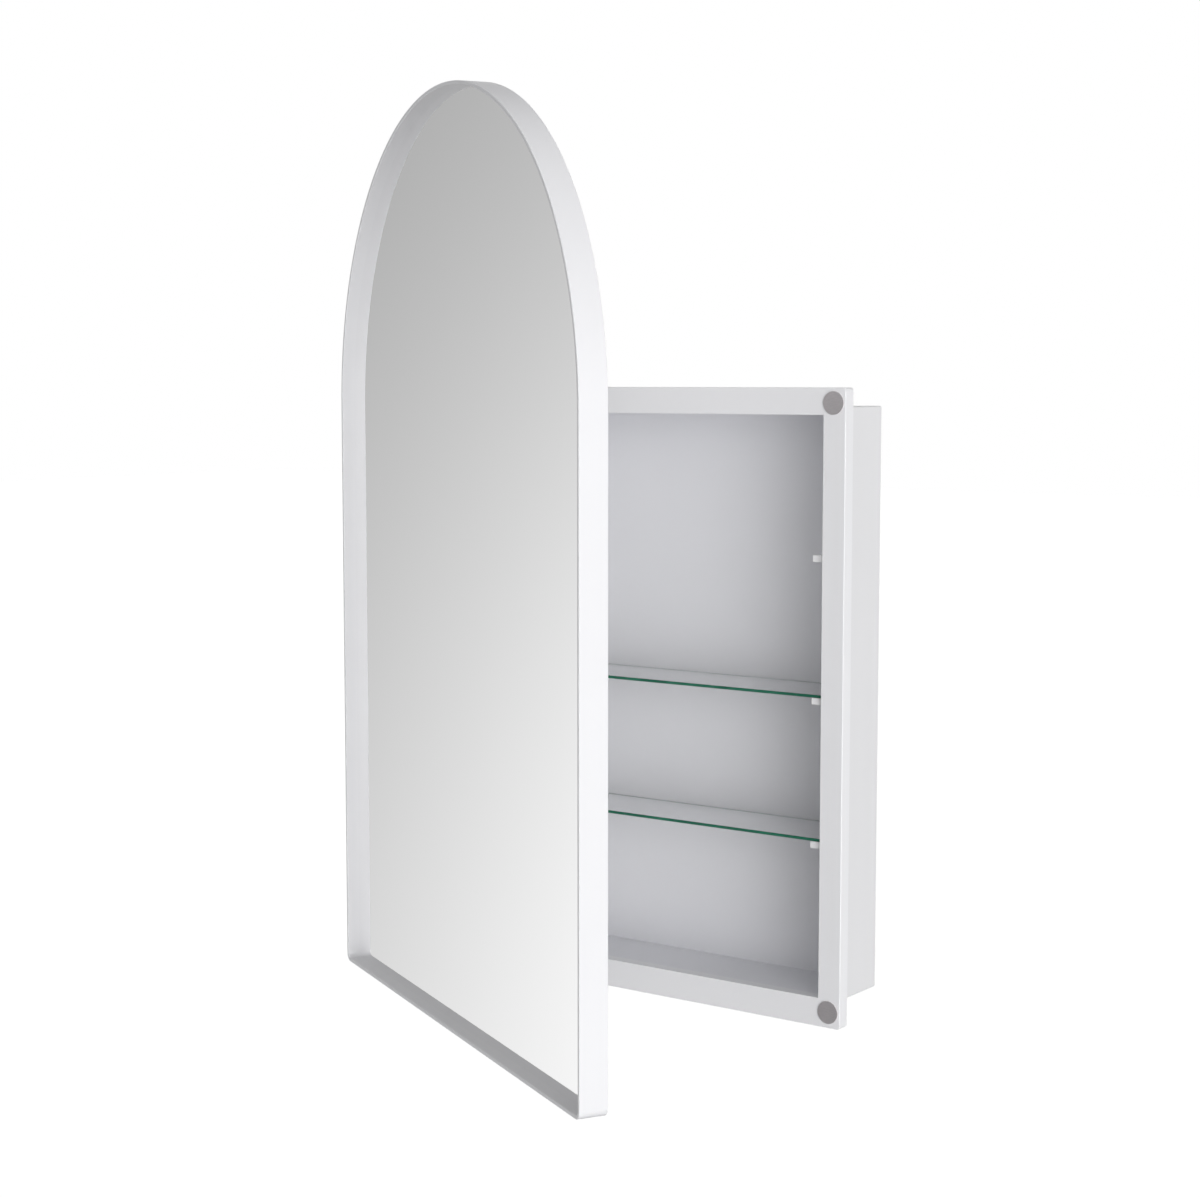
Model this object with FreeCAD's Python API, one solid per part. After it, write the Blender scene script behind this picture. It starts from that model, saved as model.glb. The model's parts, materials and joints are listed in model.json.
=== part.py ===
"""Recessed medicine cabinet with an arched, deep-framed mirror door, in millimetres.

Frame: +Z up, the front of the cabinet faces -Y, +X is to the right seen from the front.
Origin: centre of the outer face of the case back, so the case lies at negative Y.
The door is drawn closed and then swung open about its hinge line by door_rest_angle.
"""
import FreeCAD, Part
import math
import os

V = FreeCAD.Vector
Z_AXIS = V(0, 0, 1)
SAME_PLACE = 1e-4             # two lengths closer than this count as equal

# ---- driving dimensions ---------------------------------------------------------------------
# Cabinet: a face frame in front of a narrower case, with a liner inside the case.
overall_depth = 100.0          # case back to front of the face frame
face_width = 584.0
face_height = 608.3
face_return = 14.6             # depth of the face frame, and how far it stands off the wall
face_sheet = 1.2
face_hem = 13.0                # hem that rests on the wall, folded in behind the face
face_corner_radius = 3.0
face_edge_radius = 0.8
border_side = 23.6
border_top = 25.5
border_bottom = 27.7
opening_fold = 13.0            # depth of the folds above and below the opening
case_inset = 17.9              # face frame edge to case wall
case_corner_radius = 2.0
case_back_edge_radius = 0.8
case_back_return = 10.0
sheet = 1.0                    # case and liner sheet
liner_back_y = -14.8           # front face of the liner back

# Shelves and their supports.
support_tops = {"top": 146.8, "middle": 11.05, "bottom": -126.85}
shelf_levels = {"upper": support_tops["middle"], "lower": support_tops["bottom"]}
shelf_thickness = 3.0
shelf_front_y = -94.4
shelf_side_gap = 1.2
shelf_back_gap = 0.8
shelf_arris = 0.4
support_block = (10.6, 12.0, 6.4)      # width, depth, height
support_edge_radius = 0.6
support_block_gap = 2.9                # block to liner wall, bridged by the peg
support_peg_radius = 2.0
support_peg_past_wall = 3.0
support_peg_in_block = 1.0
support_rows_y = (-89.0, -30.0)

# Rails between the liner back and the case back.
rail_length = 480.0
rail_height = 30.0
rail_sheet = 1.2
rail_levels = {"upper": 200.0, "lower": -200.0}

# Keyholes in the case back, which open into the upper rail.
keyhole_x = 200.0
keyhole_entry_radius = 5.0
keyhole_slot_radius = 2.6
keyhole_slot_rise = 10.0       # entry centre to the top of the slot's straight part

# Magnets in the right corners of the face frame, strikes on the door.
magnet_radius = 11.0
magnet_proud = 0.8
magnet_chamfer = 0.3
magnet_x = 278.9
magnet_levels = {"upper": 289.8, "lower": -288.9}
strike_thickness = 1.0

# Door: a rectangle under a half circle.
door_width = 609.6
door_straight = 609.6
door_below_face = 20.0
door_gap = 2.5                 # door back to face frame, closed
door_depth = 27.7
door_wall = 3.5
door_corner_radius = 8.5
smallest_corner_radius = 1.0   # kept where the outline is moved far inwards
door_rim_radius = 0.9
door_back_ring = 48.0          # width of the ring folded in behind the door
door_back_sheet = 1.2
mirror_recess = 13.1
mirror_thickness = 4.0
mirror_edge_gap = 0.2
tape_thickness = 1.0
tape_strip = (25.0, 520.0)      # width, height
tape_margin = 40.0             # bottom of the door to the strips
tape_strips_x = (-220.0, -110.0, 0.0, 110.0, 220.0)
board_edge_gap = 0.5
board_screw_inset = 20.0
board_screw_levels = (-120.0, 0.0, 120.0)
board_screw_bottom_x = (-200.0, 0.0, 200.0)
board_screw_arch_degrees = (15.0, 52.5, 90.0, 127.5, 165.0)
door_rest_angle = 28.5

# Hinges, two of them, beside the left edge of the face frame.
hinge_levels = {"upper": 220.0, "lower": -220.0}
hinge_height = 60.0
hinge_offset_x = 3.8           # hinge line to the side of the face frame
hinge_offset_y = 1.1           # hinge line behind the front of the face frame
hinge_knuckle_radius = 3.2
hinge_bore_radius = 1.75
hinge_pin_radius = 1.7
hinge_pin_head = (2.7, 1.2)    # radius, height
hinge_pin_head_dome = 0.6
hinge_end_knuckle = 18.0
hinge_axial_gap = 0.3
hinge_swing_gap = 0.4
hinge_sheet = 1.2
hinge_corner_radius = 2.0
hinge_cabinet_leaf_depth = 12.0
hinge_door_leaf_width = 26.0
hinge_screw_spacing = 20.0
hinge_door_screw_margin = 6.0  # outer screw to the free edge of the door leaf
hinge_screw_past_plate = 1.0
nut_plate = (3.0, 9.0)         # thickness, depth

# Screws.
screw_radius = 1.9
screw_clearance_radius = 2.2
screw_thread_gap = 0.05
pan_head = (3.2, 1.0)          # radius, height
pan_head_dome = 0.5
cross_recess_size = (3.0, 0.8, 1.2)    # length of an arm pair, width, depth
flush_head_radius = 3.1
wood_screw_radius = 1.7
wood_screw_length = 8.0

# ---- derived places -------------------------------------------------------------------------
face_front_y = -overall_depth
face_back_y = face_front_y + face_return
face_plate_back_y = face_front_y + face_sheet
face_half_width = face_width / 2
face_half_height = face_height / 2
opening_half_width = face_half_width - border_side
opening_low = -face_half_height + border_bottom
opening_high = face_half_height - border_top
case_half_width = face_half_width - case_inset
case_half_height = face_half_height - case_inset
liner_low = opening_low - face_sheet
liner_high = opening_high + face_sheet

door_half_width = door_width / 2
door_low = -face_half_height - door_below_face
arch_centre_z = door_low + door_straight
door_back_y = face_front_y - door_gap
door_front_y = door_back_y - door_depth
mirror_front_y = door_front_y + mirror_recess
mirror_back_y = mirror_front_y + mirror_thickness
board_front_y = mirror_back_y + tape_thickness
board_back_y = door_back_y - door_back_sheet

hinge_x = -face_half_width - hinge_offset_x
hinge_y = face_front_y + hinge_offset_y


# ---- shape helpers --------------------------------------------------------------------------
def box(x, y, z):
    """Box between the (low, high) pairs x, y and z."""
    size = (x[1] - x[0], y[1] - y[0], z[1] - z[0])
    return Part.makeBox(*size, V(x[0], y[0], z[0]))


def rod(radius, start, end):
    """Cylinder of the given radius between two points."""
    return Part.makeCylinder(radius, (end - start).Length, start, end - start)


def prism(edges, y):
    """Solid swept along Y from a closed outline that was drawn at y[0]."""
    return Part.Face(Part.Wire(edges)).extrude(V(0, y[1] - y[0], 0))


def arc(centre, radius, degrees_from, degrees_to):
    """Arc in the XZ plane, angles counted from +X towards +Z."""
    def point(degrees):
        angle = math.radians(degrees)
        return centre + V(radius * math.cos(angle), 0, radius * math.sin(angle))
    middle = (degrees_from + degrees_to) / 2
    return Part.Arc(point(degrees_from), point(middle), point(degrees_to)).toShape()


def line(start, end):
    """Straight edge between two points."""
    return Part.LineSegment(start, end).toShape()


def rounded_panel(half_width, z, radius, y):
    """Upright rectangular panel with rounded corners, between the Y pair y."""
    left, right = -half_width + radius, half_width - radius
    low, high = z[0] + radius, z[1] - radius
    edges = [line(V(left, y[0], z[0]), V(right, y[0], z[0])),
             arc(V(right, y[0], low), radius, -90, 0),
             line(V(half_width, y[0], low), V(half_width, y[0], high)),
             arc(V(right, y[0], high), radius, 0, 90),
             line(V(right, y[0], z[1]), V(left, y[0], z[1])),
             arc(V(left, y[0], high), radius, 90, 180),
             line(V(-half_width, y[0], high), V(-half_width, y[0], low)),
             arc(V(left, y[0], low), radius, 180, 270)]
    return prism(edges, y)


def arched_panel(inset, y):
    """Door outline moved inwards by inset, as a panel between the Y pair y."""
    half = door_half_width - inset
    low = door_low + inset
    radius = max(door_corner_radius - inset, smallest_corner_radius)
    edges = [line(V(-half + radius, y[0], low), V(half - radius, y[0], low)),
             arc(V(half - radius, y[0], low + radius), radius, -90, 0),
             line(V(half, y[0], low + radius), V(half, y[0], arch_centre_z)),
             arc(V(0, y[0], arch_centre_z), half, 0, 180),
             line(V(-half, y[0], arch_centre_z), V(-half, y[0], low + radius)),
             arc(V(-half + radius, y[0], low + radius), radius, 180, 270)]
    return prism(edges, y)


def edges_at_y(shape, y):
    """Edges that lie wholly in the plane at the given Y."""
    return [edge for edge in shape.Edges
            if abs(edge.BoundBox.YMin - y) < SAME_PLACE
            and abs(edge.BoundBox.YMax - y) < SAME_PLACE]


def edges_at_z(shape, z):
    """Edges that lie wholly in the plane at the given Z."""
    return [edge for edge in shape.Edges
            if abs(edge.BoundBox.ZMin - z) < SAME_PLACE
            and abs(edge.BoundBox.ZMax - z) < SAME_PLACE]


def group(solids):
    """Separate solids kept together as one piece."""
    return Part.makeCompound(solids)


def sides():
    """The two sides of the cabinet, as the sign of X."""
    return (-1, 1)


def cross_recess(top, inward):
    """Driver recess that sinks into a screw head from its top, along the unit vector inward."""
    length, width, depth = cross_recess_size
    across = Part.makeBox(length, width, depth, V(-length / 2, -width / 2, 0))
    upright = Part.makeBox(width, length, depth, V(-width / 2, -length / 2, 0))
    cross = across.fuse(upright)
    cross.Placement = FreeCAD.Placement(top, FreeCAD.Rotation(Z_AXIS, inward))
    return cross


# ---- cabinet --------------------------------------------------------------------------------
def face_frame():
    """Folded face: front plate, side return, hem on the wall, and folds at the opening."""
    full = (-face_half_height, face_half_height)
    shell = rounded_panel(face_half_width, full, face_corner_radius, (face_front_y, face_back_y))
    rims = edges_at_y(shell, face_front_y) + edges_at_y(shell, face_back_y)
    shell = shell.makeFillet(face_edge_radius, rims)
    inside = (full[0] + face_sheet, full[1] - face_sheet)
    channel = rounded_panel(face_half_width - face_sheet, inside, face_corner_radius - face_sheet,
                            (face_plate_back_y, face_back_y - face_sheet))
    hem_inside = (full[0] + face_hem, full[1] - face_hem)
    rear_gap = box((-face_half_width + face_hem, face_half_width - face_hem),
                   (face_plate_back_y, face_back_y), hem_inside)
    opening = box((-opening_half_width, opening_half_width),
                  (face_front_y, face_back_y), (opening_low, opening_high))
    frame = shell.cut(channel).cut(rear_gap).cut(opening)
    fold_y = (face_front_y, face_front_y + opening_fold)
    width = (-opening_half_width, opening_half_width)
    frame = frame.fuse(box(width, fold_y, (opening_low - face_sheet, opening_low)))
    frame = frame.fuse(box(width, fold_y, (opening_high, opening_high + face_sheet)))
    for z in magnet_levels.values():
        frame = frame.cut(rod(magnet_radius, V(magnet_x, face_front_y, z),
                              V(magnet_x, face_plate_back_y, z)))
    for z in hinge_screw_heights():
        frame = frame.cut(rod(screw_clearance_radius, V(-face_half_width, hinge_screw_y(), z),
                              V(-face_half_width + face_sheet, hinge_screw_y(), z)))
    return frame.removeSplitter()


def case_wrap():
    """Four outer walls of the case, bent from one strip."""
    y = (face_plate_back_y, -sheet)
    height = (-case_half_height, case_half_height)
    inner_height = (height[0] + sheet, height[1] - sheet)
    outer = rounded_panel(case_half_width, height, case_corner_radius, y)
    inner = rounded_panel(case_half_width - sheet, inner_height, case_corner_radius - sheet, y)
    return outer.cut(inner)


def keyhole(x, entry_z):
    """Round entry with a slot that rises from it."""
    slot_top = entry_z + keyhole_slot_rise
    entry = rod(keyhole_entry_radius, V(x, -sheet, entry_z), V(x, 0, entry_z))
    seat = rod(keyhole_slot_radius, V(x, -sheet, slot_top), V(x, 0, slot_top))
    slot = box((x - keyhole_slot_radius, x + keyhole_slot_radius), (-sheet, 0),
               (entry_z, slot_top))
    return entry.fuse(seat).fuse(slot)


def case_back():
    """Back of the case: a shallow pan with two keyholes; its returns fit inside the walls."""
    height = (-case_half_height, case_half_height)
    inner_height = (height[0] + sheet, height[1] - sheet)
    plate = rounded_panel(case_half_width, height, case_corner_radius, (-sheet, 0))
    plate = plate.makeFillet(case_back_edge_radius, edges_at_y(plate, 0))
    returns_y = (-sheet - case_back_return, -sheet)
    outer = rounded_panel(case_half_width - sheet, inner_height, case_corner_radius - sheet,
                          returns_y)
    hollow = box((-case_half_width + 2 * sheet, case_half_width - 2 * sheet), returns_y,
                 (inner_height[0] + sheet, inner_height[1] - sheet))
    pan = plate.fuse(outer.cut(hollow)).removeSplitter()
    entry_z = rail_levels["upper"] - keyhole_slot_rise / 2
    for side in sides():
        pan = pan.cut(keyhole(side * keyhole_x, entry_z))
    return pan


def liner_wrap():
    """Four inner walls, with a round hole for each shelf support peg."""
    y = (face_plate_back_y, liner_back_y)
    outer = box((-opening_half_width - sheet, opening_half_width + sheet), y,
                (liner_low - sheet, liner_high + sheet))
    inner = box((-opening_half_width, opening_half_width), y, (liner_low, liner_high))
    wrap = outer.cut(inner)
    for top in support_tops.values():
        for row_y in support_rows_y:
            z = top - support_block[2] / 2
            for side in sides():
                start = V(side * opening_half_width, row_y, z)
                end = start + V(side * sheet, 0, 0)
                wrap = wrap.cut(rod(support_peg_radius + screw_thread_gap, start, end))
    return wrap


def liner_back():
    """Flat sheet behind the shelves."""
    return box((-opening_half_width - sheet, opening_half_width + sheet),
               (liner_back_y, liner_back_y + sheet), (liner_low - sheet, liner_high + sheet))


def back_rail(z):
    """Channel with its web on the liner back and its flanges on the case back."""
    front = liner_back_y + sheet
    height = (z - rail_height / 2, z + rail_height / 2)
    length = (-rail_length / 2, rail_length / 2)
    hollow_height = (height[0] + rail_sheet, height[1] - rail_sheet)
    bar = box(length, (front, -sheet), height)
    return bar.cut(box(length, (front + rail_sheet, -sheet), hollow_height))


def glass_shelf(support_top):
    """Glass shelf with ground arrises along its front edge."""
    half = opening_half_width - shelf_side_gap
    shelf = box((-half, half), (shelf_front_y, liner_back_y - shelf_back_gap),
                (support_top, support_top + shelf_thickness))
    front_edges = [edge for edge in edges_at_y(shelf, shelf_front_y) if edge.Length > half]
    return shelf.makeChamfer(shelf_arris, front_edges)


def shelf_support(side, row_y, top):
    """One shelf support: a block on a peg that plugs into the liner wall."""
    width, depth, height = support_block
    outer_x = opening_half_width - support_block_gap
    inner_x = outer_x - width
    block = box((inner_x, outer_x), (row_y - depth / 2, row_y + depth / 2), (top - height, top))
    rounded = [edge for edge in block.Edges if edge.BoundBox.ZMin < top - height / 2]
    block = block.makeFillet(support_edge_radius, rounded)
    axis_z = top - height / 2
    peg_end = opening_half_width + support_peg_past_wall
    peg_start = outer_x - support_peg_in_block
    peg = rod(support_peg_radius, V(peg_start, row_y, axis_z), V(peg_end, row_y, axis_z))
    support = block.fuse(peg)
    if side < 0:
        support = support.mirror(V(0, 0, 0), V(1, 0, 0))
    return support


def shelf_supports(top):
    """The four supports of one level."""
    return group([shelf_support(side, row_y, top)
                  for side in sides() for row_y in support_rows_y])


def magnet(z):
    """Disc magnet set in the face plate and standing a little proud of it."""
    disc = rod(magnet_radius, V(magnet_x, face_front_y - magnet_proud, z),
               V(magnet_x, face_plate_back_y, z))
    return disc.makeChamfer(magnet_chamfer, edges_at_y(disc, face_front_y - magnet_proud))


# ---- hinges ---------------------------------------------------------------------------------
def hinge_screw_y():
    """Depth of the screws that hold the cabinet leaf."""
    return face_back_y - face_sheet - nut_plate[1] / 2


def hinge_screw_heights():
    """Heights of all the screws in both hinges."""
    offsets = (-hinge_screw_spacing, 0.0, hinge_screw_spacing)
    return [level + offset for level in hinge_levels.values() for offset in offsets]


def screws_of(level):
    """Heights of the screws in the hinge at a level."""
    return [z for z in hinge_screw_heights() if abs(z - level) < hinge_height / 2]


def knuckle(low, high):
    """Tube of the hinge barrel between two heights."""
    low_point, high_point = V(hinge_x, hinge_y, low), V(hinge_x, hinge_y, high)
    return rod(hinge_knuckle_radius, low_point, high_point)


def hinge_bore(solid, low, high):
    """The solid less the hole for the pin, between two heights."""
    return solid.cut(rod(hinge_bore_radius, V(hinge_x, hinge_y, low), V(hinge_x, hinge_y, high)))


def edges_across(leaf):
    """Corner edges of a flat leaf, which are as long as its sheet is thick."""
    return [edge for edge in leaf.Edges if abs(edge.Length - hinge_sheet) < SAME_PLACE]


def hinge_bands(level):
    """Height pairs of the lower, middle and upper knuckle."""
    low, high = level - hinge_height / 2, level + hinge_height / 2
    middle = (low + hinge_end_knuckle + hinge_axial_gap, high - hinge_end_knuckle - hinge_axial_gap)
    return (low, low + hinge_end_knuckle), middle, (high - hinge_end_knuckle, high)


def hinge_cabinet_leaf(level):
    """Leaf on the side of the face frame, with the two end knuckles."""
    lower, middle, upper = hinge_bands(level)
    x = (-face_half_width - hinge_sheet, -face_half_width)
    leaf = box(x, (hinge_y, hinge_y + hinge_cabinet_leaf_depth), (lower[0], upper[1]))
    free = [edge for edge in edges_across(leaf) if edge.BoundBox.YMin > hinge_y + SAME_PLACE]
    leaf = leaf.makeFillet(hinge_corner_radius, free)
    leaf = leaf.fuse(knuckle(*lower)).fuse(knuckle(*upper))
    swing = hinge_knuckle_radius + hinge_swing_gap
    notch_z = (lower[1], upper[0])
    leaf = leaf.cut(box((hinge_x - swing, -face_half_width), (hinge_y - swing, hinge_y + swing),
                        notch_z))
    leaf = hinge_bore(leaf, lower[0], upper[1])
    for z in screws_of(level):
        leaf = leaf.cut(rod(screw_clearance_radius, V(x[0], hinge_screw_y(), z),
                            V(x[1], hinge_screw_y(), z)))
    return leaf.removeSplitter()


def hinge_cabinet_screws(level):
    """Pan-head screws from the leaf into the nut plate."""
    head_radius, head_height = pan_head
    screws = []
    for z in screws_of(level):
        seat = V(-face_half_width - hinge_sheet, hinge_screw_y(), z)
        tip_x = -face_half_width + face_sheet + nut_plate[0] + hinge_screw_past_plate
        top = seat - V(head_height, 0, 0)
        screw = rod(head_radius, top, seat).fuse(rod(screw_radius, seat, V(tip_x, seat.y, z)))
        screws.append(screw.cut(cross_recess(top, V(1, 0, 0))))
    return group(screws)


def hinge_nut_plate(level):
    """Tapped steel plate behind the side of the face frame."""
    thickness, depth = nut_plate
    x = (-face_half_width + face_sheet, -face_half_width + face_sheet + thickness)
    y = (hinge_screw_y() - depth / 2, hinge_screw_y() + depth / 2)
    plate = box(x, y, (level - hinge_height / 2, level + hinge_height / 2))
    for z in screws_of(level):
        plate = plate.cut(rod(screw_radius + screw_thread_gap, V(x[0], hinge_screw_y(), z),
                              V(x[1], hinge_screw_y(), z)))
    return plate


def hinge_pin(level):
    """Pin through all three knuckles, with a button head at each end."""
    low, high = level - hinge_height / 2, level + hinge_height / 2
    head_radius, head_height = hinge_pin_head
    low_point, high_point = V(hinge_x, hinge_y, low), V(hinge_x, hinge_y, high)
    pin = rod(hinge_pin_radius, low_point, high_point)
    rise = V(0, 0, head_height)
    lower_head = rod(head_radius, low_point - rise, low_point)
    lower_head = lower_head.makeFillet(hinge_pin_head_dome,
                                       edges_at_z(lower_head, low - head_height))
    upper_head = rod(head_radius, high_point, high_point + rise)
    upper_head = upper_head.makeFillet(hinge_pin_head_dome,
                                       edges_at_z(upper_head, high + head_height))
    return pin.fuse(lower_head).fuse(upper_head)


def hinge_door_screw_x(z, level):
    """The middle screw sits further from the hinge line than the other two."""
    if math.isclose(z, level):
        return hinge_x + hinge_door_leaf_width - hinge_door_screw_margin
    return hinge_x + hinge_door_leaf_width / 2


def flush_head(x, z, gap):
    """Cone of a countersunk head whose flat lies on the back of the door leaf."""
    narrow, wide = wood_screw_radius + gap, flush_head_radius + gap
    return Part.makeCone(narrow, wide, hinge_sheet, V(x, door_back_y, z), V(0, 1, 0))


def hinge_door_leaf(level):
    """Leaf on the back of the door, with the middle knuckle; closed position."""
    lower, middle, upper = hinge_bands(level)
    y = (door_back_y, door_back_y + hinge_sheet)
    leaf = box((hinge_x, hinge_x + hinge_door_leaf_width), y, (lower[0], upper[1]))
    free = [edge for edge in edges_across(leaf) if edge.BoundBox.XMin > hinge_x + SAME_PLACE]
    leaf = leaf.makeFillet(hinge_corner_radius, free)
    leaf = leaf.fuse(knuckle(*middle))
    swing = hinge_knuckle_radius + hinge_swing_gap
    for band in ((lower[0], middle[0]), (middle[1], upper[1])):
        leaf = leaf.cut(box((hinge_x - swing, hinge_x + swing),
                            (hinge_y - swing, hinge_y + swing), band))
    leaf = hinge_bore(leaf, lower[0], upper[1])
    for z in screws_of(level):
        leaf = leaf.cut(flush_head(hinge_door_screw_x(z, level), z, screw_thread_gap))
    return leaf.removeSplitter()


def hinge_door_screws(level):
    """Countersunk wood screws through the leaf and the door ring into the board."""
    screws = []
    for z in screws_of(level):
        x = hinge_door_screw_x(z, level)
        seat = V(x, door_back_y, z)
        screw = rod(wood_screw_radius, seat - V(0, wood_screw_length, 0), seat)
        screw = screw.fuse(flush_head(x, z, 0))
        top = seat + V(0, hinge_sheet, 0)
        screws.append(screw.cut(cross_recess(top, V(0, -1, 0))))
    return group(screws)


# ---- door, closed ---------------------------------------------------------------------------
def board_screw_places():
    """(x, z) of the screws round the back ring."""
    side_x = door_half_width - board_screw_inset
    places = [(side * side_x, z) for side in sides() for z in board_screw_levels]
    places += [(x, door_low + board_screw_inset) for x in board_screw_bottom_x]
    for degrees in board_screw_arch_degrees:
        angle = math.radians(degrees)
        places.append((side_x * math.cos(angle), arch_centre_z + side_x * math.sin(angle)))
    return places


def door_screw_holes(solid, radius):
    """The solid less all the wood screw holes in the back of the door."""
    places = board_screw_places()
    for level in hinge_levels.values():
        places += [(hinge_door_screw_x(z, level), z) for z in screws_of(level)]
    for x, z in places:
        solid = solid.cut(rod(radius, V(x, door_back_y - wood_screw_length, z),
                              V(x, door_back_y, z)))
    return solid


def door_frame():
    """Deep arched band with a rounded rim and a ring folded in at the back."""
    band = arched_panel(0, (door_front_y, door_back_y))
    band = band.cut(arched_panel(door_wall, (door_front_y, board_back_y)))
    band = band.cut(arched_panel(door_back_ring, (board_back_y, door_back_y)))
    band = band.makeFillet(door_rim_radius, edges_at_y(band, door_front_y))
    return door_screw_holes(band, screw_clearance_radius)


def mirror_glass():
    """Mirror plate set back in the frame."""
    return arched_panel(door_wall + mirror_edge_gap, (mirror_front_y, mirror_back_y))


def mirror_tape():
    """Strips of foam tape between the mirror and the board."""
    width, height = tape_strip
    low = door_low + tape_margin
    return group([box((x - width / 2, x + width / 2), (mirror_back_y, board_front_y),
                      (low, low + height)) for x in tape_strips_x])


def backing_board():
    """Board behind the mirror, with a hole for every wood screw."""
    board = arched_panel(door_wall + board_edge_gap, (board_front_y, board_back_y))
    return door_screw_holes(board, wood_screw_radius + screw_thread_gap)


def backing_board_screws():
    """Pan-head wood screws through the ring into the board."""
    head_radius, head_height = pan_head
    screws = []
    for x, z in board_screw_places():
        seat = V(x, door_back_y, z)
        shank = rod(wood_screw_radius, seat - V(0, wood_screw_length, 0), seat)
        top = seat + V(0, head_height, 0)
        head = rod(head_radius, seat, top)
        head = head.makeFillet(pan_head_dome, edges_at_y(head, top.y))
        screws.append(shank.fuse(head).cut(cross_recess(top, V(0, -1, 0))))
    return group(screws)


def strike_plate(z):
    """Steel disc on the door ring, opposite a magnet."""
    top_y = door_back_y + strike_thickness
    disc = rod(magnet_radius, V(magnet_x, door_back_y, z), V(magnet_x, top_y, z))
    return disc.makeChamfer(magnet_chamfer, edges_at_y(disc, top_y))


def swing_open(shape):
    """The door part turned from closed to its resting angle."""
    shape.rotate(V(hinge_x, hinge_y, 0), Z_AXIS, -door_rest_angle)
    return shape


# ---- write one file per piece ---------------------------------------------------------------
def cabinet_pieces():
    """Every piece that stays on the wall, by name."""
    pieces = {"face_frame": face_frame(),
              "case_wrap": case_wrap(),
              "case_back": case_back(),
              "liner_wrap": liner_wrap(),
              "liner_back": liner_back()}
    for name, z in rail_levels.items():
        pieces["back_rail_" + name] = back_rail(z)
    for name, top in shelf_levels.items():
        pieces["glass_shelf_" + name] = glass_shelf(top)
    for name, top in support_tops.items():
        pieces["shelf_supports_" + name] = shelf_supports(top)
    for name, z in magnet_levels.items():
        pieces["magnet_" + name] = magnet(z)
    for name, level in hinge_levels.items():
        pieces["hinge_cabinet_leaf_" + name] = hinge_cabinet_leaf(level)
        pieces["hinge_cabinet_screws_" + name] = hinge_cabinet_screws(level)
        pieces["hinge_nut_plate_" + name] = hinge_nut_plate(level)
        pieces["hinge_pin_" + name] = hinge_pin(level)
    return pieces


def door_pieces():
    """Every piece of the door, by name, at its resting angle."""
    pieces = {"door_frame": door_frame(),
              "mirror_glass": mirror_glass(),
              "mirror_tape": mirror_tape(),
              "backing_board": backing_board(),
              "backing_board_screws": backing_board_screws()}
    for name, z in magnet_levels.items():
        pieces["strike_plate_" + name] = strike_plate(z)
    for name, level in hinge_levels.items():
        pieces["hinge_door_leaf_" + name] = hinge_door_leaf(level)
        pieces["hinge_door_screws_" + name] = hinge_door_screws(level)
    return {name: swing_open(shape) for name, shape in pieces.items()}


def main():
    """Writes one file for each piece."""
    os.makedirs("parts", exist_ok=True)
    pieces = cabinet_pieces()
    pieces.update(door_pieces())
    for name, shape in pieces.items():
        shape.exportStep("parts/" + name + ".step")
        print(name, len(shape.Solids), "solid(s)", shape.isValid(), round(shape.Volume))


main()
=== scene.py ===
import json
import math

import bmesh
import bpy
from mathutils import Matrix, Vector


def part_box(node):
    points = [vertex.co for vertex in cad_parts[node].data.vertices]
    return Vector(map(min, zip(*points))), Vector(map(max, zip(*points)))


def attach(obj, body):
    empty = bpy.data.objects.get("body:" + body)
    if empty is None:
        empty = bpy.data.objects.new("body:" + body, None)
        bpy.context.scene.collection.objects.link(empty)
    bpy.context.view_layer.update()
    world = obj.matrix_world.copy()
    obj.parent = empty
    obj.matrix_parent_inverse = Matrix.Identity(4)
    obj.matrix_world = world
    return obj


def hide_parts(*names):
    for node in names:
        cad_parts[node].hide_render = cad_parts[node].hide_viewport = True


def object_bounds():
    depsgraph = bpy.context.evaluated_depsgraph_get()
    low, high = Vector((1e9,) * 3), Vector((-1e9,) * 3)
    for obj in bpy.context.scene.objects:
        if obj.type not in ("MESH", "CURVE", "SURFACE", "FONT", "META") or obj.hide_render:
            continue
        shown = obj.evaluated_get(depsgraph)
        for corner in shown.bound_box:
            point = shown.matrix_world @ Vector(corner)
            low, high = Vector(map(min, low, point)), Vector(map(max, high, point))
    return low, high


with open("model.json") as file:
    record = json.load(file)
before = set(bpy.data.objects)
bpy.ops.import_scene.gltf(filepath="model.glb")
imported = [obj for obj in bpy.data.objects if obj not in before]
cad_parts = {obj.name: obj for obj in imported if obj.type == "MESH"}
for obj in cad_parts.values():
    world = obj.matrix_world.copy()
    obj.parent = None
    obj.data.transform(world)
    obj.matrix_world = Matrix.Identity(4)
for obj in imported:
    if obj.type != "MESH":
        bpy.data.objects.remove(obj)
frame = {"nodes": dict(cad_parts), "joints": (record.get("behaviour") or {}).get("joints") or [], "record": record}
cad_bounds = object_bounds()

# A recessed medicine cabinet behind an arched mirror door, in metres.
# The front faces -Y, +Z is up, and the door rests part open about its left edge.

MM = 0.001

# Door section, measured inwards from the outline and back from the rim.
DOOR_WALL = 3.5 * MM
DOOR_CORNER = 8.5 * MM
DOOR_RIM = 0.9 * MM
DOOR_BACK_EDGE = 0.5 * MM
DOOR_RING = 48 * MM
DOOR_SHEET = 1.2 * MM
SMALLEST_CORNER = 1.0 * MM      # kept where the outline is moved far inwards
MIRROR_BITE = 0.05 * MM         # how far the mirror plate reaches into the frame's wall

# Shelves.
SHELF_EDGE = 0.6 * MM
SHELF_LIFT = 0.1 * MM           # film of air between the glass and its supports

# Shelf supports: a block, and a peg into the liner.
SUPPORT_BLOCK = Vector((10.6, 12.0, 6.4)) * MM      # width, depth, height
SUPPORT_EDGE = 0.6 * MM
PEG_RADIUS = 2.0 * MM
PEG_IN_BLOCK = 1.0 * MM
PEG_CHAMFER = 0.4 * MM

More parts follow.
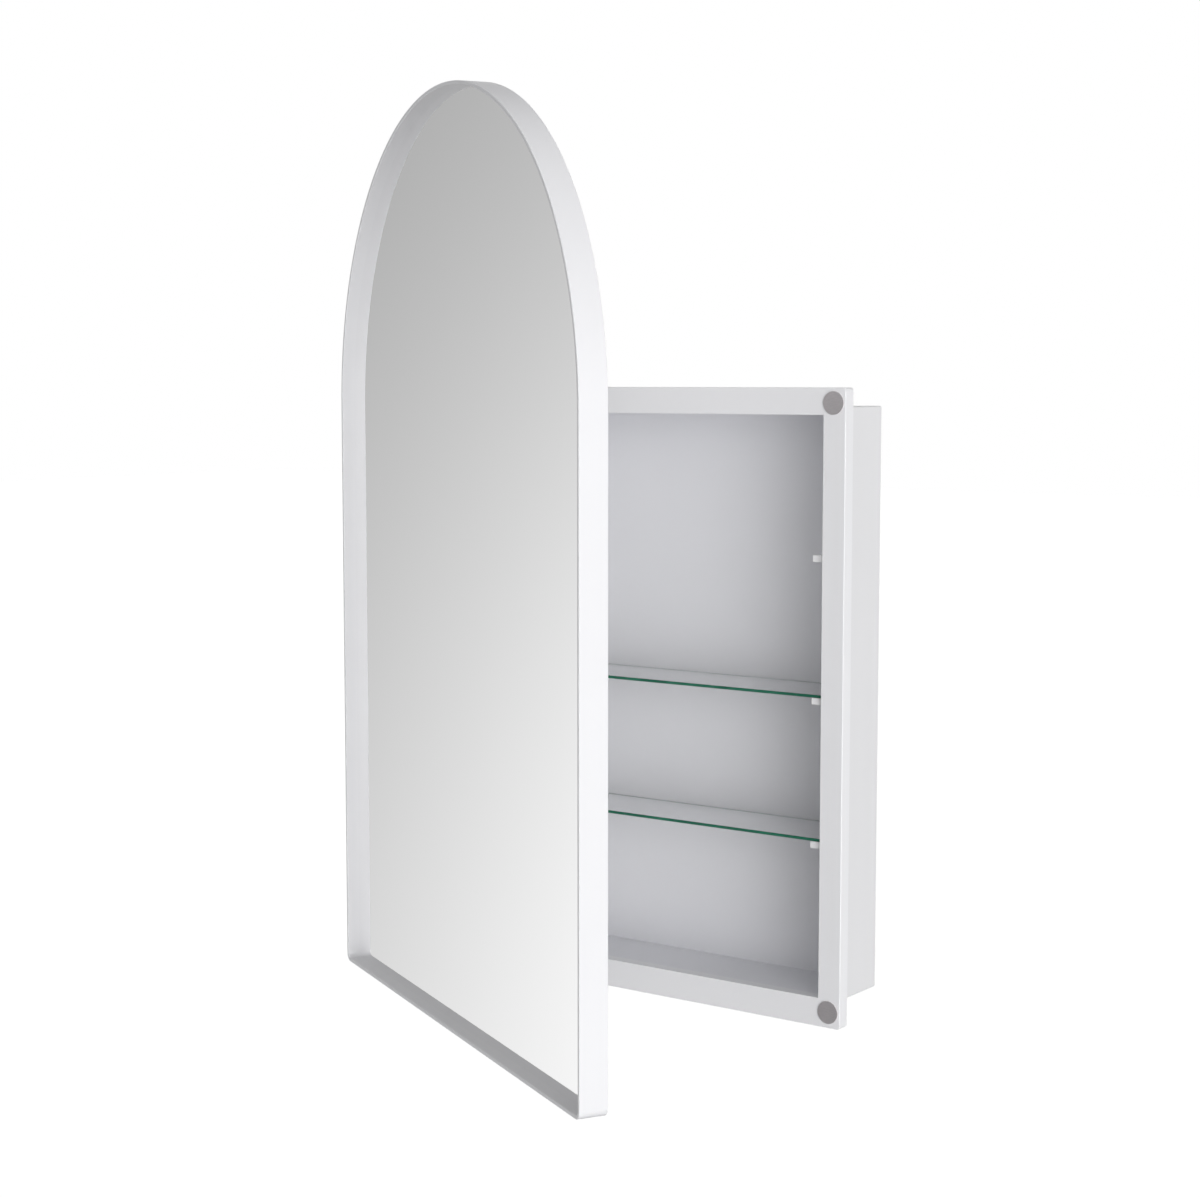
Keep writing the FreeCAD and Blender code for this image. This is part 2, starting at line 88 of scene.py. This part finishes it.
# Magnets: a disc with a rounded rim, a flat band and a shallow recess in the middle.
MAGNET_RIM = 0.25 * MM
MAGNET_BAND = 1.2 * MM          # rim to the edge of the recess
MAGNET_RECESS_SLOPE = 0.2 * MM
MAGNET_RECESS = 0.12 * MM
ROUND_MIDDLE = 0.3              # share of a radius cut away at the middle of its round

# Steps along the door's outline and round each curve.
ARCH_STEPS = 160
CORNER_STEPS = 8
SIDE_STEPS = 6
RIM_STEPS = 5
BACK_EDGE_STEPS = 3
BOX_EDGE_STEPS = 3
PEG_STEPS = 24
MAGNET_STEPS = 64
DOOR_INNER_WALL = 2 * RIM_STEPS + 1     # place in the section where the inner wall starts

# Limits for telling edges, vertices and faces apart.
SMOOTH_ANGLE = math.radians(40)
WELD = 0.001 * MM               # vertices closer than this are one
LEVEL = 0.999                   # share of a normal along Z from which a face counts as flat
REARWARD = 0.9                  # share of a normal along Y from which a face counts as rear

# Camera: where it stands and how it looks, with the lens that gives the same field of view.
CAMERA_PLACE = Vector((1.3545, -1.9355, 0.3110))
CAMERA_AZIMUTH = 36.221
CAMERA_DOWN = 5.494
CAMERA_LENS = 68.13
SENSOR_WIDTH = 36
CAMERA_REACH = 100

# Floor: how far below the object, half its width, how pale and how much it glows.
FLOOR_DROP = 1.1
FLOOR_HALF_WIDTH = 30
FLOOR_GREY = 0.9
FLOOR_ROUGHNESS = 0.9
FLOOR_GLOW = 0.6

# Studio lights far away on all sides: degrees right of the front, degrees up, focus, strength.
STUDIO_LIGHTS = (
    (55, 2, 9, 2.75),
    (61, 0, 25, 4.1),
    (0, 90, 4, 0.51),
    (180, 8, 8, 0.7),
    (-145, 0, 20, 2.4),
    (-90, 0, 5, 0.28),
    (-45, 40, 5, 0.42),
    (45, -40, 5, 0.62),
    (135, -40, 5, 0.15),
    (-80, -10, 20, 0.70),
    (-90, -30, 20, 0.57),
    (-93, -62, 12, 0.5),
)

# Surfaces.
NOISE_SPAN = (0.3, 0.7)         # most values of a noise lie between these
GLOSS_WANDER = 0.04             # how far the roughness of a powder coat goes either way
BRUSHED_WANDER = 0.07
SILVER_ROUGHNESS = 0.02
THROWN_ROUGHNESS = 0.35         # the mirror's roughness for light that it throws on
GLASS_IOR = 1.52


# ---- node helpers ---------------------------------------------------------------------------
class Material:
    """A Principled material with a few short helpers for its procedural detail."""

    def __init__(self, name, colour, roughness, metallic=0.0):
        self.material = bpy.data.materials.new(name)
        self.material.use_nodes = True
        self.tree = self.material.node_tree
        self.shader = self.tree.nodes["Principled BSDF"]
        self.set("Base Color", (*colour, 1))
        self.set("Roughness", roughness)
        self.set("Metallic", metallic)
        self.coordinates = self.tree.nodes.new("ShaderNodeTexCoord").outputs["Object"]

    def set(self, socket, value):
        self.shader.inputs[socket].default_value = value

    def node(self, kind, **inputs):
        made = self.tree.nodes.new(kind)
        for name, value in inputs.items():
            socket = made.inputs[name.replace("_", " ")]
            if isinstance(value, bpy.types.NodeSocket):
                self.tree.links.new(value, socket)
            else:
                socket.default_value = value
        return made

    def stretched(self, scale):
        """Object coordinates scaled by a different amount along each axis."""
        return self.node("ShaderNodeMapping", Vector=self.coordinates, Scale=scale).outputs[0]

    def noise(self, scale, detail=3.0, vector=None):
        made = self.node("ShaderNodeTexNoise", Scale=scale, Detail=detail,
                         Vector=vector or self.coordinates)
        return made.outputs["Fac"]

    def ramp(self, value, low, high):
        """Maps the usual span of a noise onto low to high."""
        made = self.node("ShaderNodeMapRange", Value=value, From_Min=NOISE_SPAN[0],
                         From_Max=NOISE_SPAN[1], To_Min=low, To_Max=high)
        return made.outputs["Result"]

    def tint(self, value, dark, light):
        """Base colour that runs from dark to light with value."""
        made = self.tree.nodes.new("ShaderNodeMix")
        made.data_type = "RGBA"
        self.tree.links.new(self.ramp(value, 0, 1), made.inputs["Factor"])
        colours = [socket for socket in made.inputs if socket.type == "RGBA"]
        colours[0].default_value = (*dark, 1)
        colours[1].default_value = (*light, 1)
        result = [socket for socket in made.outputs if socket.type == "RGBA"][0]
        self.tree.links.new(result, self.shader.inputs["Base Color"])

    def rough(self, value, low, high):
        self.tree.links.new(self.ramp(value, low, high), self.shader.inputs["Roughness"])

    def bump(self, height, distance, strength):
        made = self.node("ShaderNodeBump", Height=height, Distance=distance, Strength=strength)
        self.tree.links.new(made.outputs["Normal"], self.shader.inputs["Normal"])


def shade(colour, share):
    """The colour darkened to a share of its brightness."""
    return tuple(share * channel for channel in colour)


def powder_coat(name, colour, roughness):
    """Satin powder coat: fine orange peel, and a gloss that wanders a little."""
    made = Material(name, colour, roughness)
    cloud = made.noise(scale=9.0, detail=4.0)
    made.tint(cloud, dark=shade(colour, 0.985), light=colour)
    patches = made.noise(scale=60.0)
    made.rough(patches, low=roughness - GLOSS_WANDER, high=roughness + GLOSS_WANDER)
    orange_peel = made.noise(scale=420.0, detail=2.0)
    made.bump(orange_peel, distance=0.03 * MM, strength=0.35)
    return made.material


def silvered_glass():
    """Clear mirror; light that it throws on to dull surfaces is softened."""
    silver = (0.98, 0.98, 0.98)
    made = Material("silvered_glass", silver, SILVER_ROUGHNESS, metallic=1.0)
    made.tint(made.noise(scale=3.0, detail=2.0), dark=(0.975, 0.975, 0.975), light=silver)
    path = made.node("ShaderNodeLightPath")
    thrown = made.node("ShaderNodeMath")
    thrown.operation = "MAXIMUM"
    made.tree.links.new(path.outputs["Is Diffuse Ray"], thrown.inputs[0])
    made.tree.links.new(path.outputs["Is Glossy Ray"], thrown.inputs[1])
    softened = made.node("ShaderNodeMapRange", Value=thrown.outputs[0],
                         To_Min=SILVER_ROUGHNESS, To_Max=THROWN_ROUGHNESS)
    made.tree.links.new(softened.outputs["Result"], made.shader.inputs["Roughness"])
    return made.material


def mirror_edge_glass():
    """The cut edge of the mirror plate."""
    made = Material("mirror_edge_glass", (0.16, 0.3, 0.25), 0.15)
    streaks = made.noise(scale=40.0, detail=2.0)
    made.tint(streaks, dark=(0.12, 0.26, 0.21), light=(0.2, 0.34, 0.29))
    return made.material


def mirror_back_paint():
    """Grey paint that seals the silver."""
    made = Material("mirror_back_paint", (0.32, 0.34, 0.36), 0.55)
    made.tint(made.noise(scale=25.0), dark=(0.3, 0.32, 0.34), light=(0.35, 0.37, 0.39))
    made.bump(made.noise(scale=300.0, detail=2.0), distance=0.02 * MM, strength=0.4)
    return made.material


def clear_glass():
    """The faces of the shelves."""
    made = Material("clear_float_glass", (0.99, 0.995, 1.0), 0.01)
    made.set("Transmission Weight", 1.0)
    made.set("IOR", GLASS_IOR)
    made.bump(made.noise(scale=5.0, detail=1.0), distance=0.01 * MM, strength=0.15)
    return made.material


def green_glass_edge():
    """The ground and polished edges of the shelves."""
    made = Material("green_glass_edge", (0.015, 0.14, 0.08), 0.12)
    streaks = made.noise(scale=30.0, vector=made.stretched((1, 8, 8)))
    made.tint(streaks, dark=(0.010, 0.110, 0.065), light=(0.020, 0.180, 0.105))
    made.rough(made.noise(scale=400.0, detail=2.0), low=0.1, high=0.2)
    made.set("IOR", GLASS_IOR)
    return made.material


def moulded_plastic(name, colour):
    """Satin plastic with the fine grain of its mould."""
    made = Material(name, colour, 0.42)
    made.tint(made.noise(scale=80.0, detail=2.0), dark=shade(colour, 0.97), light=colour)
    made.rough(made.noise(scale=500.0, detail=2.0), low=0.36, high=0.48)
    made.bump(made.noise(scale=1500.0, detail=2.0), distance=0.02 * MM, strength=0.3)
    return made.material


def brushed_metal(name, colour, roughness, grain):
    """Plated steel with a fine grain along one direction."""
    made = Material(name, colour, roughness, metallic=1.0)
    streaks = made.noise(scale=1.0, detail=4.0, vector=made.stretched(grain))
    made.tint(streaks, dark=shade(colour, 0.86), light=colour)
    made.rough(streaks, low=roughness - BRUSHED_WANDER, high=roughness + BRUSHED_WANDER)
    made.bump(streaks, distance=0.002 * MM, strength=0.3)
    return made.material


def galvanised_steel():
    """Zinc spangle in patches of a few millimetres."""
    made = Material("galvanised_steel", (0.6, 0.62, 0.64), 0.38, metallic=1.0)
    spangle = made.node("ShaderNodeTexVoronoi", Scale=140.0, Vector=made.coordinates)
    grey = made.node("ShaderNodeRGBToBW", Color=spangle.outputs["Color"]).outputs[0]
    made.tint(grey, dark=(0.5, 0.52, 0.54), light=(0.68, 0.7, 0.72))
    made.rough(grey, low=0.3, high=0.48)
    return made.material


def melamine_board():
    """White melamine face with a faint pebble grain."""
    made = Material("melamine_board", (0.80, 0.80, 0.79), 0.5)
    made.tint(made.noise(scale=60.0), dark=(0.79, 0.79, 0.78), light=(0.81, 0.81, 0.80))
    made.rough(made.noise(scale=200.0, detail=2.0), low=0.44, high=0.56)
    made.bump(made.noise(scale=700.0), distance=0.01 * MM, strength=0.4)
    return made.material


def foam():
    """Cellular tape behind the mirror."""
    made = Material("foam_tape", (0.75, 0.75, 0.74), 0.9)
    cells = made.noise(scale=900.0, detail=2.0)
    made.tint(cells, dark=(0.55, 0.55, 0.54), light=(0.8, 0.8, 0.79))
    made.bump(cells, distance=0.1 * MM, strength=0.6)
    return made.material


def make_materials():
    """Materials by slot. face_frame is a node, and inner_wall_painted_shade a part of the door frame."""
    zinc = (0.84, 0.85, 0.87)
    return {
        "white_frame": powder_coat("white_powder_coat_frame", (0.86, 0.86, 0.88), 0.42),
        # Inner walls round the mirror: the frame's white darkened, as painted shade.
        "inner_wall_painted_shade": powder_coat("white_powder_coat_inner_wall", (0.775, 0.775, 0.795), 0.42),
        # Face frame: the same white coat made lighter than the rest, as painted light.
        "face_frame": powder_coat("white_powder_coat_face_frame_painted_light", (0.92, 0.92, 0.94), 0.42),
        "white_case": powder_coat("white_powder_coat_case", (0.84, 0.84, 0.855), 0.46),
        "white_liner": powder_coat("white_powder_coat_liner", (0.875, 0.877, 0.91), 0.48),
        "mirror": silvered_glass(),
        "mirror_edge": mirror_edge_glass(),
        "mirror_back": mirror_back_paint(),
        "shelf_glass": clear_glass(),
        "shelf_edge": green_glass_edge(),
        "support_plastic": moulded_plastic("white_support_plastic", (0.97, 0.965, 0.975)),
        "magnet": brushed_metal("dull_nickel", (0.82, 0.785, 0.80), 0.55, (300, 300, 2500)),
        "hinge_steel": brushed_metal("satin_nickel", (0.82, 0.81, 0.79), 0.36, (6000, 6000, 150)),
        "screw_steel": brushed_metal("bright_zinc", zinc, 0.3, (2000, 2000, 2000)),
        "zinc_steel": galvanised_steel(),
        "board": melamine_board(),
        "foam_tape": foam(),
    }


# ---- mesh helpers ---------------------------------------------------------------------------
def piece_from(bm, name, materials, body, replaced=()):
    """Object of a finished bmesh, in the row frame, riding on a body."""
    bmesh.ops.recalc_face_normals(bm, faces=bm.faces)
    mesh = bpy.data.meshes.new(name)
    bm.to_mesh(mesh)
    bm.free()
    for polygon in mesh.polygons:
        polygon.use_smooth = True
    mesh.set_sharp_from_angle(angle=SMOOTH_ANGLE)
    for material in materials:
        mesh.materials.append(material)
    piece = bpy.data.objects.new(name, mesh)
    bpy.context.scene.collection.objects.link(piece)
    weighted = piece.modifiers.new("even_flats", "WEIGHTED_NORMAL")
    weighted.keep_sharp = True
    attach(piece, body)
    if replaced:
        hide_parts(*replaced)
    return piece


def quarter(centre, radius, degrees_from, steps):
    """Points of a quarter circle in a section, turning by 90 degrees."""
    angles = [math.radians(degrees_from + 90 * i / steps) for i in range(steps + 1)]
    return [(centre[0] + radius * math.cos(a), centre[1] + radius * math.sin(a))
            for a in angles]


def bridge_rings(bm, rings, closed):
    """Faces between rings of vertices; closed joins the last ring to the first."""
    pairs = list(zip(rings, rings[1:]))
    if closed:
        pairs.append((rings[-1], rings[0]))
    faces = []
    for ring, following in pairs:
        count = len(ring)
        for i in range(count):
            j = (i + 1) % count
            faces.append(bm.faces.new((ring[i], ring[j], following[j], following[i])))
    return faces


def lathe(bm, section, matrix, steps):
    """Solid of revolution about local Z from (radius, height) points, capped at both ends."""
    angles = [2 * math.pi * i / steps for i in range(steps)]
    rings = []
    for radius, height in section:
        points = [(radius * math.cos(a), radius * math.sin(a), height) for a in angles]
        rings.append([bm.verts.new(matrix @ Vector(point)) for point in points])
    bridge_rings(bm, rings, closed=False)
    bm.faces.new(reversed(rings[0]))
    bm.faces.new(rings[-1])


def rounded_box(bm, low, high, radius):
    """Box between two corners with every edge rounded."""
    size = high - low
    made = bmesh.ops.create_cube(bm, size=1.0, matrix=Matrix.Translation((low + high) / 2)
                                 @ Matrix.Diagonal((*size, 1)))
    edges = dict.fromkeys(edge for vertex in made["verts"] for edge in vertex.link_edges)
    bmesh.ops.bevel(bm, geom=list(edges), offset=radius, segments=BOX_EDGE_STEPS, profile=0.5,
                    affect="EDGES")


# ---- the door's own frame of reference ------------------------------------------------------
HINGE = frame["joints"][0]
HINGE_POINT = Vector(HINGE["pos_m"])
OPEN_ANGLE = -math.radians(HINGE["range_deg"][0])
CLOSED_TO_REST = (Matrix.Translation(HINGE_POINT) @ Matrix.Rotation(-OPEN_ANGLE, 4, "Z")
                  @ Matrix.Translation(-HINGE_POINT))
REST_TO_CLOSED = CLOSED_TO_REST.inverted()


def box_round(points):
    """Lowest and highest corner round some points."""
    low = Vector([min(point[i] for point in points) for i in range(3)])
    high = Vector([max(point[i] for point in points) for i in range(3)])
    return low, high


def closed_box(node):
    """Box of a door node as it stands when the door is shut."""
    vertices = frame["nodes"][node].data.vertices
    return box_round([REST_TO_CLOSED @ vertex.co for vertex in vertices])


def loose_boxes(node):
    """Box of each separate solid of a node."""
    bm = bmesh.new()
    bm.from_mesh(frame["nodes"][node].data)
    bmesh.ops.remove_doubles(bm, verts=bm.verts, dist=WELD)
    seen, boxes = set(), []
    for start in bm.verts:
        if start in seen:
            continue
        stack, island = [start], []
        seen.add(start)
        while stack:
            vertex = stack.pop()
            island.append(vertex.co.copy())
            for edge in vertex.link_edges:
                other = edge.other_vert(vertex)
                if other not in seen:
                    seen.add(other)
                    stack.append(other)
        boxes.append(box_round(island))
    bm.free()
    return boxes


# ---- door -----------------------------------------------------------------------------------
DOOR_LOW, DOOR_HIGH = closed_box("door_frame")
DOOR_HALF = (DOOR_HIGH.x - DOOR_LOW.x) / 2
DOOR_CENTRE_X = (DOOR_HIGH.x + DOOR_LOW.x) / 2
ARCH_CENTRE_Z = DOOR_HIGH.z - DOOR_HALF


def arched_outline(inset):
    """(x, z) points round the door outline moved inwards, the same number for any inset."""
    half = DOOR_HALF - inset
    low = DOOR_LOW.z + inset
    radius = max(DOOR_CORNER - inset, SMALLEST_CORNER)
    points = []
    for side, start in ((-1, 180), (1, 270)):
        centre_x = side * (half - radius)
        for i in range(CORNER_STEPS + 1):
            angle = math.radians(start + 90 * i / CORNER_STEPS)
            points.append((centre_x + radius * math.cos(angle),
                           low + radius + radius * math.sin(angle)))
    corner_top = low + radius
    for i in range(1, SIDE_STEPS):
        points.append((half, corner_top + (ARCH_CENTRE_Z - corner_top) * i / SIDE_STEPS))
    for i in range(ARCH_STEPS + 1):
        angle = math.pi * i / ARCH_STEPS
        points.append((half * math.cos(angle), ARCH_CENTRE_Z + half * math.sin(angle)))
    for i in range(SIDE_STEPS - 1, 0, -1):
        points.append((-half, corner_top + (ARCH_CENTRE_Z - corner_top) * i / SIDE_STEPS))
    return [(DOOR_CENTRE_X + x, z) for x, z in points]


def outline_ring(bm, inset, y):
    """Vertices along the moved outline at depth y of the shut door, swung to rest."""
    return [bm.verts.new(CLOSED_TO_REST @ Vector((x, y, z))) for x, z in arched_outline(inset)]


def faces_between(ring, following):
    """Faces that join two rings."""
    return [face for i, vertex in enumerate(ring) for face in vertex.link_faces
            if following[i] in face.verts and ring[i - 1] in face.verts]


def door_frame_section():
    """(inset, y) points round the section of the door frame."""
    front, back = DOOR_LOW.y, DOOR_HIGH.y
    rim = DOOR_RIM
    section = quarter((rim, front + rim), rim, 180, RIM_STEPS)
    section += quarter((DOOR_WALL - rim, front + rim), rim, 270, RIM_STEPS)
    section += [(DOOR_WALL, back - DOOR_SHEET), (DOOR_RING, back - DOOR_SHEET),
                (DOOR_RING, back)]
    edge = DOOR_BACK_EDGE
    section += quarter((edge, back - edge), edge, 90, BACK_EDGE_STEPS)
    return section


def build_door_frame(materials):
    """Arched band with a rounded rim; the walls round the mirror get a darker copy of the frame's white, as
    painted shade.
    """
    bm = bmesh.new()
    rings = [outline_ring(bm, inset, y) for inset, y in door_frame_section()]
    bridge_rings(bm, rings, closed=True)
    # The inner wall takes the darker copy of the white, as painted shade.
    for face in faces_between(rings[DOOR_INNER_WALL], rings[DOOR_INNER_WALL + 1]):
        face.material_index = 1
    slots = [materials["white_frame"], materials["inner_wall_painted_shade"]]
    return piece_from(bm, "door_frame_arched", slots, "door", ["door_frame"])


def build_mirror(materials):
    """Mirror plate that fits its frame with no gap: silver in front, painted behind."""
    low, high = closed_box("mirror_glass")
    inset = DOOR_WALL - MIRROR_BITE
    bm = bmesh.new()
    front_ring = outline_ring(bm, inset, low.y)
    back_ring = outline_ring(bm, inset, high.y)
    sides = bridge_rings(bm, [front_ring, back_ring], closed=False)
    front = bm.faces.new(front_ring)
    back = bm.faces.new(reversed(back_ring))
    for face in sides:
        face.material_index = 1
    front.material_index = 0
    back.material_index = 2
    slots = [materials["mirror"], materials["mirror_edge"], materials["mirror_back"]]
    return piece_from(bm, "mirror_plate", slots, "door", ["mirror_glass"])


# ---- cabinet pieces -------------------------------------------------------------------------
def build_shelf(name, materials):
    """Glass shelf with pencil-polished edges, green except along the hidden rear."""
    low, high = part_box(name)
    low.z += SHELF_LIFT
    bm = bmesh.new()
    rounded_box(bm, low, high, SHELF_EDGE)
    bm.normal_update()
    for face in bm.faces:
        flat = abs(face.normal.z) > LEVEL
        rear = face.normal.y > REARWARD
        face.material_index = 0 if flat or rear else 1
    slots = [materials["shelf_glass"], materials["shelf_edge"]]
    return piece_from(bm, name + "_polished", slots, "cabinet", [name])


def build_supports(name, materials):
    """Shelf supports: a softly rounded block and a peg into the liner."""
    bm = bmesh.new()
    for low, high in loose_boxes(name):
        side = 1 if low.x > 0 else -1
        inner_x = min(abs(low.x), abs(high.x))
        peg_start_x = inner_x + SUPPORT_BLOCK.x - PEG_IN_BLOCK
        peg_end_x = max(abs(low.x), abs(high.x))
        middle = (low + high) / 2
        centre = Vector((side * (inner_x + SUPPORT_BLOCK.x / 2), middle.y, middle.z))
        rounded_box(bm, centre - SUPPORT_BLOCK / 2, centre + SUPPORT_BLOCK / 2, SUPPORT_EDGE)
        peg_start = Vector((side * peg_start_x, middle.y, middle.z))
        turn = Matrix.Rotation(side * math.pi / 2, 4, "Y")
        length = peg_end_x - peg_start_x
        section = [(PEG_RADIUS, 0), (PEG_RADIUS, length - PEG_CHAMFER),
                   (PEG_RADIUS - PEG_CHAMFER, length)]
        lathe(bm, section, Matrix.Translation(peg_start) @ turn, PEG_STEPS)
    return piece_from(bm, name + "_moulded", [materials["support_plastic"]],
                      "cabinet", [name])


def build_magnet(name, materials):
    """Disc magnet with a turned rim and a shallow centre recess."""
    low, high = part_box(name)
    radius = (high.x - low.x) / 2
    depth = high.y - low.y
    rear_centre = Vector(((low.x + high.x) / 2, high.y, (low.z + high.z) / 2))
    rim_cut = ROUND_MIDDLE * MAGNET_RIM
    recess_radius = radius - MAGNET_BAND
    section = [(radius, 0), (radius, depth - MAGNET_RIM), (radius - rim_cut, depth - rim_cut),
               (radius - MAGNET_RIM, depth), (recess_radius, depth),
               (recess_radius - MAGNET_RECESS_SLOPE, depth - MAGNET_RECESS)]
    bm = bmesh.new()
    turn = Matrix.Rotation(math.pi / 2, 4, "X")
    lathe(bm, section, Matrix.Translation(rear_centre) @ turn, MAGNET_STEPS)
    return piece_from(bm, name + "_disc", [materials["magnet"]], "cabinet", [name])


def paint_cad_nodes(materials):
    """Each CAD node that still shows gets the full material of its slot."""
    slots = {part["node"]: part["material_slot"] for part in frame["record"]["subparts"]}
    for name, node in frame["nodes"].items():
        if node.hide_render:
            continue
        node.data.materials.clear()
        node.data.materials.append(materials.get(name, materials[slots[name]]))


# ---- light and camera -----------------------------------------------------------------------
def studio_direction(right, up):
    """Unit vector so many degrees to the right of the front and above the horizon."""
    right, up = math.radians(right), math.radians(up)
    return Vector((math.sin(right) * math.cos(up), -math.cos(right) * math.cos(up),
                   math.sin(up)))


def build_world():
    """Studio of soft round lights on all sides; the backdrop looks white to the camera."""
    world = bpy.data.worlds.new("studio")
    bpy.context.scene.world = world
    world.use_nodes = True
    tree = world.node_tree
    tree.nodes.clear()
    direction = tree.nodes.new("ShaderNodeTexCoord").outputs["Generated"]

    def math_node(operation, *values):
        made = tree.nodes.new("ShaderNodeMath")
        made.operation = operation
        for socket, value in zip(made.inputs, values):
            if isinstance(value, bpy.types.NodeSocket):
                tree.links.new(value, socket)
            else:
                socket.default_value = value
        return made.outputs[0]

    total = 0.0
    for right, up, focus, strength in STUDIO_LIGHTS:
        towards = tree.nodes.new("ShaderNodeVectorMath")
        towards.operation = "DOT_PRODUCT"
        tree.links.new(direction, towards.inputs[0])
        towards.inputs[1].default_value = studio_direction(right, up)
        nearness = math_node("MULTIPLY_ADD", towards.outputs["Value"], focus, -focus)
        glow = math_node("EXPONENT", nearness)
        total = math_node("MULTIPLY_ADD", glow, strength, total)
    surround = tree.nodes.new("ShaderNodeBackground")
    tree.links.new(total, surround.inputs["Strength"])
    surround.inputs["Color"].default_value = (1, 1, 1, 1)
    white = tree.nodes.new("ShaderNodeBackground")
    white.inputs["Color"].default_value = (1, 1, 1, 1)
    mix = tree.nodes.new("ShaderNodeMixShader")
    seen = tree.nodes.new("ShaderNodeLightPath").outputs["Is Camera Ray"]
    tree.links.new(seen, mix.inputs[0])
    tree.links.new(surround.outputs[0], mix.inputs[1])
    tree.links.new(white.outputs[0], mix.inputs[2])
    output = tree.nodes.new("ShaderNodeOutputWorld")
    tree.links.new(mix.outputs[0], output.inputs["Surface"])


def build_floor():
    """Plain pale floor well below the object, seen by the camera only."""
    mesh = bpy.data.meshes.new("floor")
    bm = bmesh.new()
    bmesh.ops.create_grid(bm, x_segments=1, y_segments=1, size=FLOOR_HALF_WIDTH)
    bm.to_mesh(mesh)
    bm.free()
    material = bpy.data.materials.new("pale_floor")
    material.use_nodes = True
    shader = material.node_tree.nodes["Principled BSDF"]
    shader.inputs["Base Color"].default_value = (FLOOR_GREY, FLOOR_GREY, FLOOR_GREY, 1)
    shader.inputs["Roughness"].default_value = FLOOR_ROUGHNESS
    shader.inputs["Emission Color"].default_value = (1, 1, 1, 1)
    shader.inputs["Emission Strength"].default_value = FLOOR_GLOW
    mesh.materials.append(material)
    floor = bpy.data.objects.new("floor", mesh)
    floor.location = (0, 0, cad_bounds[0].z - FLOOR_DROP)
    for kind in ("diffuse", "glossy", "transmission", "shadow"):
        setattr(floor, "visible_" + kind, False)
    bpy.context.scene.collection.objects.link(floor)


def build_camera():
    """Camera at the standing place, a little above the middle and looking slightly down."""
    data = bpy.data.cameras.new("camera")
    data.lens = CAMERA_LENS
    data.sensor_width = SENSOR_WIDTH
    data.clip_end = CAMERA_REACH
    camera = bpy.data.objects.new("camera", data)
    camera.location = CAMERA_PLACE
    azimuth, down = math.radians(CAMERA_AZIMUTH), math.radians(CAMERA_DOWN)
    camera.rotation_euler = (math.pi / 2 - down, 0, azimuth)
    bpy.context.scene.collection.objects.link(camera)
    bpy.context.scene.camera = camera


build_camera()
build_world()
build_floor()
bpy.context.scene.view_settings.view_transform = "Standard"

MATERIALS = make_materials()
build_door_frame(MATERIALS)
build_mirror(MATERIALS)
for shelf_name in ("glass_shelf_upper", "glass_shelf_lower"):
    build_shelf(shelf_name, MATERIALS)
for support_name in ("shelf_supports_top", "shelf_supports_middle", "shelf_supports_bottom"):
    build_supports(support_name, MATERIALS)
for magnet_name in ("magnet_upper", "magnet_lower"):
    build_magnet(magnet_name, MATERIALS)
paint_cad_nodes(MATERIALS)
